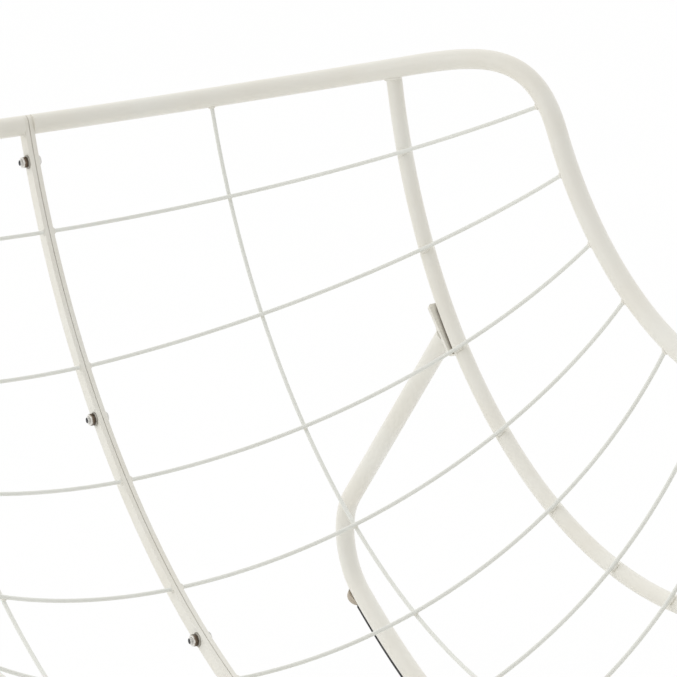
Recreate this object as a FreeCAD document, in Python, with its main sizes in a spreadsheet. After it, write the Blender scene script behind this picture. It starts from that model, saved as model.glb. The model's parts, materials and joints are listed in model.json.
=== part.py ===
# Rocking egg chair: an open bowl of welded white wire and tube, bolted together from two
# mirrored halves along a flat bar spine, and carried on two bent tube rockers.
#
# Every wire of the bowl is an arc. The hoops stand in planes that pass through one level line,
# the bowl's axis, and the uprights, side rims and spine run round that same line.
# A place on the bowl is given by two angles: "swing" goes round the axis from level behind
# the chair, down under the seat and up at the front, and "reach" goes out along one hoop.
# Lengths are in millimetres, +Z is up and the sitter faces -Y. The floor is at Z = 0.
import FreeCAD
import Part
import Sketcher
import math
import os

Vector = FreeCAD.Vector
doc = FreeCAD.newDocument("rocking_egg_chair")

SIZES = [
    ("axis_height", "1070", "height of the bowl's level axis over the floor"),
    ("axis_y", "-193.8", "the bowl's axis from the middle of the chair's length"),
    ("spine_radius", "824", "axis to the hoop wires at the spine"),
    ("hoop_radius", "545", "radius of every hoop"),
    ("back_swing", "19.05", "swing of the top rim, degrees"),
    ("front_swing", "118.5", "swing of the front rim, degrees"),
    ("hoop_swing_1", "28.5", "swing of each hoop, top to front, degrees"),
    ("hoop_swing_2", "40", ""),
    ("hoop_swing_3", "52", ""),
    ("hoop_swing_4", "63.5", ""),
    ("hoop_swing_5", "75.5", ""),
    ("hoop_swing_6", "88", ""),
    ("hoop_swing_7", "98.5", ""),
    ("hoop_swing_8", "110", ""),
    ("hoop_drop_2", "0.86", "spine end of the second hoop below its plane, degrees"),
    ("hoop_drop_2_left", "1.4", "the same hoop at the left upright, degrees"),
    ("hoop_drop_2_right", "0.13", "the same hoop at the right upright, degrees"),
    ("hoop_drop_5", "-0.8", "spine end of the fifth hoop, the same way, degrees"),
    ("hoop_drop_5_left", "-1.3", "the same hoop at the left upright, degrees"),
    ("hoop_drop_5_right", "-0.12", "the same hoop at the right upright, degrees"),
    ("hoop_drop_rim", "-0.35", "share of the spine end's drop added from upright to rim"),
    ("wire_diameter", "5", "hoops and uprights"),
    ("weld_gap", "0.2", "clearance left at every welded or seated contact"),
    ("upright_x", "229", "upright wire from the middle, on the hoops"),
    ("rim_diameter", "25", "rim tube"),
    ("rim_wall", "1.5", "rim tube wall"),
    ("rim_offset", "5", "rim axis outside the hoops"),
    ("rim_side_reach", "72", "reach of the side rim, degrees"),
    ("rim_reach_back", "49", "reach where the top rim starts its corner, degrees"),
    ("rim_reach_front", "40", "reach where the front rim starts its corner, degrees"),
    ("rim_corner_back", "14", "swing used up by a top corner, degrees"),
    ("rim_corner_front", "30", "swing used up by a front corner, degrees"),
    ("rim_pull_back", "115", "length of a top corner curve's handles"),
    ("rim_pull_front", "150", "length of a front corner curve's handles"),
    ("bar_thickness", "6", "spine flat bar, across the chair"),
    ("bar_depth", "20", "spine flat bar, front to back"),
    ("bar_front", "3", "bar's inner edge ahead of the hoops' centre line"),
    ("bar_seam", "0.5", "clearance between the two bars"),
    ("bar_edge", "0.9", "rounding along the bar's edges"),
    ("bar_end_rise", "2.5", "bar's round end moved out to come level with the rim"),
    ("rib_diameter", "20", "rib tube"),
    ("rib_wall", "1.5", "rib tube wall"),
    ("rib_clearance", "0.9", "rib to hoops, taken up by the weld"),
    ("rib_x_back", "413.5", "rib from the middle at the top rim"),
    ("rib_x_middle", "396", "rib from the middle, half way round"),
    ("rib_x_front", "394", "rib from the middle at the front rim"),
    ("spine_bolt_swing", "22.2", "swing of the first spine bolt, degrees"),
    ("spine_bolt_pitch", "23.35", "swing between spine bolts, degrees"),
    ("spine_bolt_diameter", "8", "M8"),
    ("spine_bolt_head", "14", "low round head"),
    ("spine_bolt_dome", "4.4", "height of the round head"),
    ("dome_lip_share", "0.25", "straight edge of the round head, share of its height"),
    ("dome_flat_share", "0.167", "flat tip of the round head, share of its width"),
    ("dome_shoulder_out", "0.62", "point on the round head, share of its width"),
    ("dome_shoulder_up", "0.82", "the same point, share of its height"),
    ("spine_bolt_hole", "9", "clearance hole in the bars"),
    ("spine_bolt_end", "3", "thread standing out of the nut"),
    ("nut_flats", "13", "M8 flange nut, across flats"),
    ("nut_height", "8", "M8 flange nut with its flange"),
    ("nut_flange", "17.9", "M8 flange nut, flange diameter"),
    ("nut_flange_height", "1.8", "thickness of the flange"),
    ("nut_bore", "8.4", "bore over the thread"),
    ("plate_length", "74", "mounting plate, along the rib"),
    ("plate_width_rear", "24", "rear mounting plate, across"),
    ("plate_width_front", "36", "front mounting plate, across"),
    ("plate_thickness", "5", "mounting plate"),
    ("plate_corner", "4", "mounting plate's corner radius"),
    ("plate_x_rear", "410.5", "rear plate's middle"),
    ("plate_x_front", "405", "front plate's middle"),
    ("plate_swing_rear", "49", "swing of the rear plate and leg, degrees"),
    ("plate_swing_front", "112", "swing of the front plate and leg, degrees"),
    ("plate_rise_rear", "5", "rear plate's middle above its leg, along the rib"),
    ("plate_rise_front", "0", "front plate's middle above its leg, along the rib"),
    ("plate_gap", "0.6", "rib to plate where the leg meets it"),
    ("plate_bolt_spacing", "50", "between the two bolts of a plate"),
    ("plate_bolt_diameter", "6", "M6"),
    ("plate_bolt_hole", "6.6", "clearance hole for M6"),
    ("plate_bolt_length", "18", "under the head"),
    ("insert_diameter", "9", "threaded insert in the rib, sleeve"),
    ("insert_bore", "6.4", "threaded insert in the rib, over the thread"),
    ("insert_length", "13", "threaded insert in the rib"),
    ("insert_collar", "10", "bulge of the insert inside the rib"),
    ("insert_collar_depth", "5.8", "top of the bulge under the rib's surface"),
    ("insert_collar_height", "3", "height of the bulge"),
    ("plate_bolt_flats", "10", "hex head across flats"),
    ("plate_bolt_head", "4", "hex head height"),
    ("base_x", "409", "rocker tube from the middle"),
    ("base_diameter", "25", "rocker tube"),
    ("base_wall", "2", "rocker tube wall"),
    ("leg_lean_rear", "2.2", "rear leg off square to its plate, degrees"),
    ("leg_lean_front", "0", "front leg off square to its plate, degrees"),
    ("bend_radius", "84", "bend between leg and runner"),
    ("runner_radius", "967", "runner arc at the tube's centre line"),
    ("runner_y", "15.2", "place of the runner's lowest point"),
    ("tread_thickness", "3", "rubber under the runner"),
    ("tread_width", "16", "rubber tread, across"),
    ("tread_flat", "40", "flat under the tread's middle, on which the chair stands still"),
    ("tread_lap", "6", "rubber that rises beside the tube"),
    ("tread_gap", "0.5", "glue line between tread and runner"),
    ("tread_margin", "0.75", "tread end short of the bend, degrees"),
    ("stop_diameter", "20", "rubber stop at each end of a tread"),
    ("stop_margin", "-0.15", "stop's middle short of the bend, degrees"),
    ("stretcher_diameter", "20", "cross tube between the rockers"),
    ("stretcher_wall", "1.5", "cross tube wall"),
    ("stretcher_turn_rear", "12", "rear cross tube's place along the runner, degrees"),
    ("stretcher_turn_front", "-16", "front cross tube's place along the runner, degrees"),
]

sheet = doc.addObject("Spreadsheet::Sheet", "Sizes")
for row, (name, number, note) in enumerate(SIZES, start=1):
    sheet.set("A%d" % row, name)
    sheet.set("B%d" % row, number)
    sheet.set("C%d" % row, note)
    sheet.setAlias("B%d" % row, name)
doc.recompute()


def size(name):
    return float(sheet.get(name))


HOOPS = 8
BOLTS = 5
STEEL = 7.85e-6
RUBBER = 1.2e-6
SIDES = [("left", -1), ("right", 1)]
AXIS = Vector(0, size("axis_y"), size("axis_height"))
ACROSS = Vector(1, 0, 0)
finished = []


def part_done(obj, name):
    obj.Label = name
    finished.append(obj)
    return obj


# Directions and places on the bowl.

def outward(swing):
    angle = math.radians(swing)
    return Vector(0, math.cos(angle), -math.sin(angle))


def along(swing):
    angle = math.radians(swing)
    return Vector(0, -math.sin(angle), -math.cos(angle))


def hoop_centre(swing):
    return AXIS + outward(swing) * (size("spine_radius") - size("hoop_radius"))


def on_bowl(side, reach, swing, grow=0.0):
    angle = math.radians(reach)
    spoke = ACROSS * (side * math.sin(angle)) + outward(swing) * math.cos(angle)
    return hoop_centre(swing) + spoke * (size("hoop_radius") + grow)


def hoop_heading(side, reach, swing):
    angle = math.radians(reach)
    return ACROSS * (side * math.cos(angle)) - outward(swing) * math.sin(angle)


def reach_of(x, grow=0.0):
    return math.degrees(math.asin(x / (size("hoop_radius") + grow)))


def frame(base, first, second):
    third = first.cross(second)
    matrix = FreeCAD.Matrix(
        first.x, second.x, third.x, base.x,
        first.y, second.y, third.y, base.y,
        first.z, second.z, third.z, base.z,
        0, 0, 0, 1)
    return FreeCAD.Placement(matrix)


# A round wire or tube bent to one arc, and a tube bent along several.

def ring(name, centre, first, second, big, small, start, end):
    obj = doc.addObject("Part::Torus", name)
    obj.setExpression("Radius1", big)
    obj.setExpression("Radius2", small)
    obj.Angle1 = -180
    obj.Angle2 = 180
    obj.Angle3 = end - start
    turn = FreeCAD.Placement(Vector(), FreeCAD.Rotation(Vector(0, 0, 1), start))
    obj.Placement = frame(centre, first, second).multiply(turn)
    return obj


def cut(name, base, tools):
    obj = base
    for count, tool in enumerate(tools):
        step = doc.addObject("Part::Cut", "%s_cut_%d" % (name, count))
        step.Base = obj
        step.Tool = tool
        obj = step
    return obj


def swept(name, path, radius):
    edge = path.Shape.Edges[0]
    start = edge.valueAt(edge.FirstParameter)
    heading = edge.tangentAt(edge.FirstParameter)
    section = doc.addObject("Part::Circle", name + "_section")
    section.setExpression("Radius", radius)
    section.Placement = FreeCAD.Placement(start, FreeCAD.Rotation(Vector(0, 0, 1), heading))
    obj = doc.addObject("Part::Sweep", name)
    obj.Sections = [section]
    obj.Spine = (path, ["Edge%d" % (i + 1) for i in range(len(path.Shape.Edges))])
    obj.Solid = True
    obj.Frenet = False
    return obj


def bent_tube(name, edges, diameter, wall):
    path = doc.addObject("Part::Feature", name + "_path")
    path.Shape = Part.Wire(edges)
    doc.recompute()
    outer = swept(name + "_outer", path, "Sizes.%s / 2" % diameter)
    inner = swept(name + "_inner", path, "Sizes.%s / 2 - Sizes.%s" % (diameter, wall))
    return cut(name, outer, [inner])


def arc_edge(a, b, c):
    return Part.Arc(a, b, c).toShape()


# Rim: top arc, corner, side arc, corner and front arc, one tube to each half.

RIM_START = reach_of(size("bar_seam") / 2 + size("bar_thickness") + 1.5 * size("weld_gap"),
                     size("rim_offset"))


def rim_hoop_edge(side, swing, start, end):
    grow = size("rim_offset")
    places = [on_bowl(side, reach, swing, grow) for reach in (start, (start + end) / 2, end)]
    return arc_edge(*places)


def rim_corner_edge(side, end, step):
    grow = size("rim_offset")
    swing = size(end + "_swing")
    reach = size("rim_reach_" + end)
    pull = size("rim_pull_" + end)
    from_place = on_bowl(side, reach, swing, grow)
    to_place = on_bowl(side, size("rim_side_reach"), swing + step, grow)
    leaving = hoop_heading(side, reach, swing)
    arriving = along(swing + step) * (1 if step > 0 else -1)
    curve = Part.BezierCurve()
    curve.setPoles([from_place, from_place + leaving * pull, to_place - arriving * pull, to_place])
    return curve


def rim_edges(side):
    back = size("back_swing")
    front = size("front_swing")
    side_back = back + size("rim_corner_back")
    side_front = front - size("rim_corner_front")
    top = rim_hoop_edge(side, back, RIM_START, size("rim_reach_back"))
    top_corner = rim_corner_edge(side, "back", size("rim_corner_back")).toShape()
    swings = [side_back, (side_back + side_front) / 2, side_front]
    places = [on_bowl(side, size("rim_side_reach"), s, size("rim_offset")) for s in swings]
    side_arc = arc_edge(*places)
    low_corner = rim_corner_edge(side, "front", -size("rim_corner_front"))
    low_corner.setPoles(list(reversed(low_corner.getPoles())))
    low = rim_hoop_edge(side, front, size("rim_reach_front"), RIM_START)
    return [top, top_corner, side_arc, low_corner.toShape(), low]


rim_paths = {}
for side_name, side in SIDES:
    rim_paths[side] = Part.Wire(rim_edges(side))
    rim = bent_tube("rim_" + side_name, rim_edges(side), "rim_diameter", "rim_wall")
    part_done(rim, "rim_" + side_name)


# Hoops: each half runs from the side of its spine bar to the inside of the rim.
# Two of them were welded to the spine a little out of the row, so they lean over to it.

HOOP_START = reach_of(size("bar_seam") / 2 + size("bar_thickness") + size("weld_gap"))
DROPPED_HOOPS = [2, 5]


def hoop_end(side, swing):
    target = size("rim_diameter") / 2 + size("weld_gap")
    near = size("rim_reach_front")
    far = size("rim_side_reach")
    for _ in range(24):
        middle = (near + far) / 2
        end = Part.makeCircle(size("wire_diameter") / 2, on_bowl(side, middle, swing),
                              hoop_heading(side, middle, swing))
        if end.distToShape(rim_paths[side])[0] > target:
            near = middle
        else:
            far = middle
    return near


def dropped_hoop_edge(side_name, side, number):
    swing = size("hoop_swing_%d" % number)
    drop = size("hoop_drop_%d" % number)
    at_upright = swing + size("hoop_drop_%d_%s" % (number, side_name))
    at_rim = at_upright + drop * size("hoop_drop_rim")
    return arc_edge(on_bowl(side, HOOP_START, swing + drop),
                    on_bowl(side, reach_of(size("upright_x")), at_upright),
                    on_bowl(side, hoop_end(side, at_rim), at_rim))


for side_name, side in SIDES:
    for number in range(1, HOOPS + 1):
        name = "hoop_%s_%d" % (side_name, number)
        if number in DROPPED_HOOPS:
            path = doc.addObject("Part::Feature", name + "_path")
            path.Shape = dropped_hoop_edge(side_name, side, number)
            hoop = swept(name, path, "Sizes.wire_diameter / 2")
        else:
            swing = size("hoop_swing_%d" % number)
            hoop = ring(name, hoop_centre(swing), outward(swing), ACROSS * side,
                        "Sizes.hoop_radius", "Sizes.wire_diameter / 2",
                        HOOP_START, hoop_end(side, swing))
        part_done(hoop, name)


# Uprights: one thin wire each side, outside the hoops, from rim to rim.

upright_grow = size("wire_diameter") + size("weld_gap")
upright_reach = math.radians(reach_of(size("upright_x")))
upright_round = (size("spine_radius") - size("hoop_radius")
                 + (size("hoop_radius") + upright_grow) * math.cos(upright_reach))
upright_out = (size("hoop_radius") + upright_grow) * math.sin(upright_reach)
upright_short = math.degrees((size("rim_diameter") / 2 + size("weld_gap")) / upright_round)
sheet.set("A%d" % (len(SIZES) + 1), "upright_round")
sheet.set("B%d" % (len(SIZES) + 1),
          "=spine_radius - hoop_radius + (hoop_radius + wire_diameter + weld_gap)"
          " * sqrt(1 - (upright_x / hoop_radius)^2)")
sheet.setAlias("B%d" % (len(SIZES) + 1), "upright_round")
doc.recompute()
for side_name, side in SIDES:
    first = size("back_swing") + upright_short
    last = size("front_swing") - upright_short
    upright = ring("upright_" + side_name, AXIS + ACROSS * (side * upright_out),
                   outward(0), along(0), "Sizes.upright_round",
                   "Sizes.wire_diameter / 2", first, last)
    part_done(upright, "upright_" + side_name)


# Spine bars: flat bar on edge with rounded edges and ends, and holes for the bolts.

def spine_point(radius, swing):
    place = AXIS + outward(swing) * radius
    return Vector(place.y, place.z, 0)


def body_plane(body, role):
    return [o for o in body.Origin.OriginFeatures if o.Role == role][0]


def new_sketch(body, name, role):
    sketch = body.newObject("Sketcher::SketchObject", name)
    sketch.AttachmentSupport = [(body_plane(body, role), "")]
    sketch.MapMode = "FlatFace"
    return sketch


def turn_of(swing):
    return -math.radians(swing)


def spine_bar(name, x):
    inner = size("spine_radius") - size("bar_front")
    outer = inner + size("bar_depth")
    middle = (inner + outer) / 2
    rise = math.degrees(size("bar_end_rise") / middle)
    back = size("back_swing") - rise
    front = size("front_swing") + rise
    body = doc.addObject("PartDesign::Body", name)
    band = new_sketch(body, name + "_band", "YZ_Plane")
    hub = Vector(AXIS.y, AXIS.z, 0)
    for radius in (inner, outer):
        circle = Part.Circle(hub, Vector(0, 0, 1), radius)
        band.addGeometry(Part.ArcOfCircle(circle, turn_of(front), turn_of(back)))
    for swing, step in ((back, -1), (front, 1)):
        away = along(swing) * (step * size("bar_depth") / 2)
        tip = spine_point(middle, swing) + Vector(away.y, away.z, 0)
        band.addGeometry(Part.Arc(spine_point(inner, swing), tip, spine_point(outer, swing)))
    pad = body.newObject("PartDesign::Pad", name + "_pad")
    pad.Profile = band
    pad.setExpression("Length", "Sizes.bar_thickness")
    doc.recompute()
    rounded = body.newObject("PartDesign::Fillet", name + "_rounded")
    sharp = [i for i, edge in enumerate(pad.Shape.Edges, start=1) if edge.Length > size("bar_depth")]
    rounded.Base = (pad, ["Edge%d" % i for i in sharp])
    rounded.setExpression("Radius", "Sizes.bar_edge")
    holes = new_sketch(body, name + "_holes", "YZ_Plane")
    for count in range(BOLTS):
        swing = size("spine_bolt_swing") + count * size("spine_bolt_pitch")
        circle = Part.Circle(spine_point(middle, swing), Vector(0, 0, 1), size("spine_bolt_hole") / 2)
        holes.addGeometry(circle)
        holes.addConstraint(Sketcher.Constraint("Diameter", count, size("spine_bolt_hole")))
        holes.setExpression("Constraints[%d]" % count, "Sizes.spine_bolt_hole")
    pocket = body.newObject("PartDesign::Pocket", name + "_pocket")
    pocket.Profile = holes
    pocket.Type = "ThroughAll"
    pocket.Midplane = True
    body.Placement = FreeCAD.Placement(Vector(x, 0, 0), FreeCAD.Rotation())
    return body


half_seam = size("bar_seam") / 2
part_done(spine_bar("spine_bar_right", half_seam), "spine_bar_right")
part_done(spine_bar("spine_bar_left", -half_seam - size("bar_thickness")), "spine_bar_left")


# Spine bolts: round heads on the right bar, flange nuts on the left bar.

def round_bolt(name):
    grip = 2 * size("bar_thickness") + size("bar_seam") + 2 * size("weld_gap")
    length = grip + size("nut_height") + size("spine_bolt_end")
    shank = size("spine_bolt_diameter") / 2
    head = size("spine_bolt_head") / 2
    dome = size("spine_bolt_dome")
    lip = dome * size("dome_lip_share")
    flat = head * size("dome_flat_share")
    body = doc.addObject("PartDesign::Body", name)
    sketch = new_sketch(body, name + "_half", "XZ_Plane")
    corners = [Vector(0, dome, 0), Vector(0, -length, 0), Vector(shank, -length, 0),
               Vector(shank, 0, 0), Vector(head, 0, 0), Vector(head, lip, 0)]
    for a, b in zip(corners[:-1], corners[1:]):
        sketch.addGeometry(Part.LineSegment(a, b))
    shoulder = Vector(head * size("dome_shoulder_out"), dome * size("dome_shoulder_up"), 0)
    tip = Vector(flat, dome, 0)
    sketch.addGeometry(Part.Arc(corners[-1], shoulder, tip))
    sketch.addGeometry(Part.LineSegment(tip, corners[0]))
    turned = body.newObject("PartDesign::Revolution", name + "_turned")
    turned.Profile = sketch
    turned.ReferenceAxis = (sketch, ["V_Axis"])
    turned.Angle = 360
    return body


def flange_nut(name):
    hexagon = doc.addObject("Part::Prism", name + "_hexagon")
    hexagon.Polygon = 6
    hexagon.setExpression("Circumradius", "Sizes.nut_flats / sqrt(3)")
    hexagon.setExpression("Height", "Sizes.nut_height")
    flange = doc.addObject("Part::Cone", name + "_flange")
    flange.setExpression("Radius1", "Sizes.nut_flange / 2")
    flange.setExpression("Radius2", "Sizes.nut_flats / 2")
    flange.setExpression("Height", "Sizes.nut_flange_height")
    whole = doc.addObject("Part::Fuse", name + "_whole")
    whole.Base = hexagon
    whole.Tool = flange
    bore = doc.addObject("Part::Cylinder", name + "_bore")
    bore.setExpression("Radius", "Sizes.nut_bore / 2")
    bore.setExpression("Height", "Sizes.nut_height")
    return cut(name, whole, [bore])


bolt_round = size("spine_radius") - size("bar_front") + size("bar_depth") / 2
bar_outside = half_seam + size("bar_thickness") + size("weld_gap")
for number in range(1, BOLTS + 1):
    swing = size("spine_bolt_swing") + (number - 1) * size("spine_bolt_pitch")
    place = AXIS + outward(swing) * bolt_round
    bolt = round_bolt("spine_bolt_%d" % number)
    bolt.Placement = frame(place + ACROSS * bar_outside, outward(swing), along(swing) * -1)
    part_done(bolt, "spine_bolt_%d" % number)
    nut = flange_nut("spine_nut_%d" % number)
    nut.Placement = frame(place - ACROSS * bar_outside, outward(swing), along(swing))
    part_done(nut, "spine_nut_%d" % number)


# Ribs: one tube each side behind the hoops, coped against the rim at both ends.

rib_grow = (size("wire_diameter") + size("rib_diameter")) / 2 + size("rib_clearance")


def rib_edge(side):
    back = size("back_swing")
    front = size("front_swing")
    stations = [("back", back), ("middle", (back + front) / 2), ("front", front)]
    return arc_edge(*[on_bowl(side, reach_of(size("rib_x_" + label)), swing, rib_grow)
                      for label, swing in stations])


def rib_place(swing):
    edge = rib_edge(1)
    low = edge.FirstParameter
    high = edge.LastParameter
    for _ in range(50):
        middle = (low + high) / 2
        spot = edge.valueAt(middle) - AXIS
        if math.degrees(math.atan2(-spot.z, spot.y)) < swing:
            low = middle
        else:
            high = middle
    return edge.valueAt(low)


def mirrored(place, side):
    return Vector(side * place.x, place.y, place.z)


PLATES = ["rear", "front"]


def plate_seat(end, side):
    swing = size("plate_swing_" + end)
    place = mirrored(rib_place(swing), side)
    return place + outward(swing) * (size("rib_diameter") / 2 + size("plate_gap"))


def plate_middle(end, side):
    swing = size("plate_swing_" + end)
    return plate_seat(end, side) - along(swing) * size("plate_rise_" + end)


def plate_bolt_spots(end, side):
    swing = size("plate_swing_" + end)
    half = size("plate_bolt_spacing") / 2
    return [plate_middle(end, side) + along(swing) * shift for shift in (-half, half)]


for side_name, side in SIDES:
    name = "rib_" + side_name
    tube = bent_tube(name + "_tube", [rib_edge(side)], "rib_diameter", "rib_wall")
    tools = [swept(name + "_cope", doc.getObject("rim_%s_path" % side_name),
                   "Sizes.rim_diameter / 2 + Sizes.weld_gap")]
    for end in PLATES:
        swing = size("plate_swing_" + end)
        for count, spot in enumerate(plate_bolt_spots(end, side)):
            hole = doc.addObject("Part::Cylinder", "%s_hole_%s_%d" % (name, end, count))
            hole.setExpression("Radius", "Sizes.insert_diameter / 2 + Sizes.weld_gap")
            hole.setExpression("Height", "Sizes.rib_diameter / 2 + Sizes.plate_thickness")
            hole.Placement = frame(spot + outward(swing) * size("plate_thickness"),
                                   ACROSS, along(swing) * -1)
            tools.append(hole)
    part_done(cut(name, tube, tools), name)


# Mounting plates behind the ribs, with two hex bolts each.

def mounting_plate(name, width, shift):
    body = doc.addObject("PartDesign::Body", name)
    outline = new_sketch(body, name + "_outline", "XY_Plane")
    half = size(width) / 2
    corner = size("plate_corner")
    tip = size("plate_length") / 2
    flat = half - corner
    shoulder = tip - corner
    quarter = math.pi / 2
    outline.addGeometry(Part.LineSegment(Vector(half, -shoulder, 0), Vector(half, shoulder, 0)))
    outline.addGeometry(Part.LineSegment(Vector(-half, shoulder, 0), Vector(-half, -shoulder, 0)))
    outline.addGeometry(Part.LineSegment(Vector(flat, tip, 0), Vector(-flat, tip, 0)))
    outline.addGeometry(Part.LineSegment(Vector(-flat, -tip, 0), Vector(flat, -tip, 0)))
    for count, (x, y) in enumerate([(flat, shoulder), (-flat, shoulder),
                                    (-flat, -shoulder), (flat, -shoulder)]):
        circle = Part.Circle(Vector(x, y, 0), Vector(0, 0, 1), corner)
        outline.addGeometry(Part.ArcOfCircle(circle, count * quarter, (count + 1) * quarter))
    pad = body.newObject("PartDesign::Pad", name + "_pad")
    pad.Profile = outline
    pad.setExpression("Length", "Sizes.plate_thickness")
    holes = new_sketch(body, name + "_holes", "XY_Plane")
    for count, sign in enumerate((-1, 1)):
        spot = Vector(shift, sign * size("plate_bolt_spacing") / 2, 0)
        holes.addGeometry(Part.Circle(spot, Vector(0, 0, 1), size("plate_bolt_hole") / 2))
        holes.addConstraint(Sketcher.Constraint("Diameter", count, size("plate_bolt_hole")))
        holes.setExpression("Constraints[%d]" % count, "Sizes.plate_bolt_hole")
    pocket = body.newObject("PartDesign::Pocket", name + "_pocket")
    pocket.Profile = holes
    pocket.Type = "ThroughAll"
    pocket.Midplane = True
    return body


def hex_bolt(name):
    shank = doc.addObject("Part::Cylinder", name + "_shank")
    shank.setExpression("Radius", "Sizes.plate_bolt_diameter / 2")
    shank.setExpression("Height", "Sizes.plate_bolt_length")
    head = doc.addObject("Part::Prism", name + "_head")
    head.Polygon = 6
    head.setExpression("Circumradius", "Sizes.plate_bolt_flats / sqrt(3)")
    head.setExpression("Height", "Sizes.plate_bolt_head")
    head.Placement = FreeCAD.Placement(Vector(0, 0, -size("plate_bolt_head")), FreeCAD.Rotation())
    whole = doc.addObject("Part::Fuse", name)
    whole.Base = shank
    whole.Tool = head
    return whole


def threaded_insert(name):
    sleeve = doc.addObject("Part::Cylinder", name + "_sleeve")
    sleeve.setExpression("Radius", "Sizes.insert_diameter / 2")
    sleeve.setExpression("Height", "Sizes.insert_length")
    collar = doc.addObject("Part::Cylinder", name + "_collar")
    collar.setExpression("Radius", "Sizes.insert_collar / 2")
    collar.setExpression("Height", "Sizes.insert_collar_height")
    collar.Placement = FreeCAD.Placement(Vector(0, 0, size("insert_collar_depth")), FreeCAD.Rotation())
    whole = doc.addObject("Part::Fuse", name + "_whole")
    whole.Base = sleeve
    whole.Tool = collar
    bore = doc.addObject("Part::Cylinder", name + "_bore")
    bore.setExpression("Radius", "Sizes.insert_bore / 2")
    bore.setExpression("Height", "Sizes.insert_length")
    return cut(name, whole, [bore])


def pair(name, pieces):
    both = doc.addObject("Part::Compound", name)
    both.Links = pieces
    return part_done(both, name)


for side_name, side in SIDES:
    for end in PLATES:
        swing = size("plate_swing_" + end)
        seat = plate_middle(end, side)
        middle = Vector(side * size("plate_x_" + end), seat.y, seat.z)
        name = "plate_%s_%s" % (end, side_name)
        plate = mounting_plate(name, "plate_width_" + end, seat.x - middle.x)
        plate.Placement = frame(middle, ACROSS, along(swing))
        part_done(plate, name)
        bolts = []
        inserts = []
        for count, spot in enumerate(plate_bolt_spots(end, side), start=1):
            bolt = hex_bolt("%s_bolt_%d" % (name, count))
            under_head = spot + outward(swing) * (size("plate_thickness") + size("weld_gap"))
            bolt.Placement = frame(under_head, ACROSS, along(swing) * -1)
            bolts.append(bolt)
            insert = threaded_insert("%s_insert_%d" % (name, count))
            mouth = spot - outward(swing) * (4 * size("weld_gap"))
            insert.Placement = frame(mouth, ACROSS, along(swing) * -1)
            inserts.append(insert)
        pair("plate_bolts_%s_%s" % (end, side_name), bolts)
        pair("inserts_%s_%s" % (end, side_name), inserts)


# Rockers: rear leg, bend, runner, bend and front leg in one tube on each side.

TREAD_ROUND = size("runner_radius") + size("base_diameter") / 2 + size("tread_thickness")
TREAD_FLAT_TURN = math.degrees(math.asin(size("tread_flat") / 2 / TREAD_ROUND))
RUNNER_HUB = Vector(0, size("runner_y"), TREAD_ROUND * math.cos(math.radians(TREAD_FLAT_TURN)))


def leg_top(end):
    swing = size("plate_swing_" + end)
    lean = math.radians(size("leg_lean_" + end))
    corner = size("base_diameter") / 2 * abs(math.sin(lean))
    seat = plate_seat(end, 1)
    top = seat + outward(swing) * (size("plate_thickness") + size("weld_gap") + corner)
    return Vector(0, top.y, top.z)


def leg_bend(end):
    heading = outward(size("plate_swing_" + end) + size("leg_lean_" + end))
    inward = Vector(0, heading.z, -heading.y)
    if inward.y * (1 if end == "rear" else -1) > 0:
        inward = inward * -1
    start = leg_top(end) + inward * size("bend_radius") - RUNNER_HUB
    reach = size("runner_radius") - size("bend_radius")
    slope = start.dot(heading)
    length = -slope + math.sqrt(slope * slope - start.dot(start) + reach * reach)
    centre = RUNNER_HUB + start + heading * length
    leave = centre - inward * size("bend_radius")
    spoke = centre - RUNNER_HUB
    spoke.normalize()
    join = RUNNER_HUB + spoke * size("runner_radius")
    halfway = (leave - centre) + (join - centre)
    halfway.normalize()
    turn = math.degrees(math.atan2(spoke.y, -spoke.z))
    return leave, centre + halfway * size("bend_radius"), join, turn


def on_runner(turn, radius):
    angle = math.radians(turn)
    return RUNNER_HUB + Vector(0, math.sin(angle), -math.cos(angle)) * radius


def base_edges(x):
    shift = ACROSS * x
    rear_leave, rear_mid, rear_join, rear_turn = leg_bend("rear")
    front_leave, front_mid, front_join, front_turn = leg_bend("front")
    lowest = on_runner((rear_turn + front_turn) / 2, size("runner_radius"))
    return [
        Part.makeLine(leg_top("rear") + shift, rear_leave + shift),
        arc_edge(rear_leave + shift, rear_mid + shift, rear_join + shift),
        arc_edge(rear_join + shift, lowest + shift, front_join + shift),
        arc_edge(front_join + shift, front_mid + shift, front_leave + shift),
        Part.makeLine(front_leave + shift, leg_top("front") + shift),
    ]


REAR_TURN = leg_bend("rear")[3]
FRONT_TURN = leg_bend("front")[3]


def runner_clearance(name, side, gap):
    first = Vector(0, 0, -1)
    second = Vector(0, 1, 0)
    hub = RUNNER_HUB + ACROSS * (side * size("base_x"))
    return ring(name, hub, first, second, "Sizes.runner_radius",
                "Sizes.base_diameter / 2 + Sizes.%s" % gap, FRONT_TURN, REAR_TURN)


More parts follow.
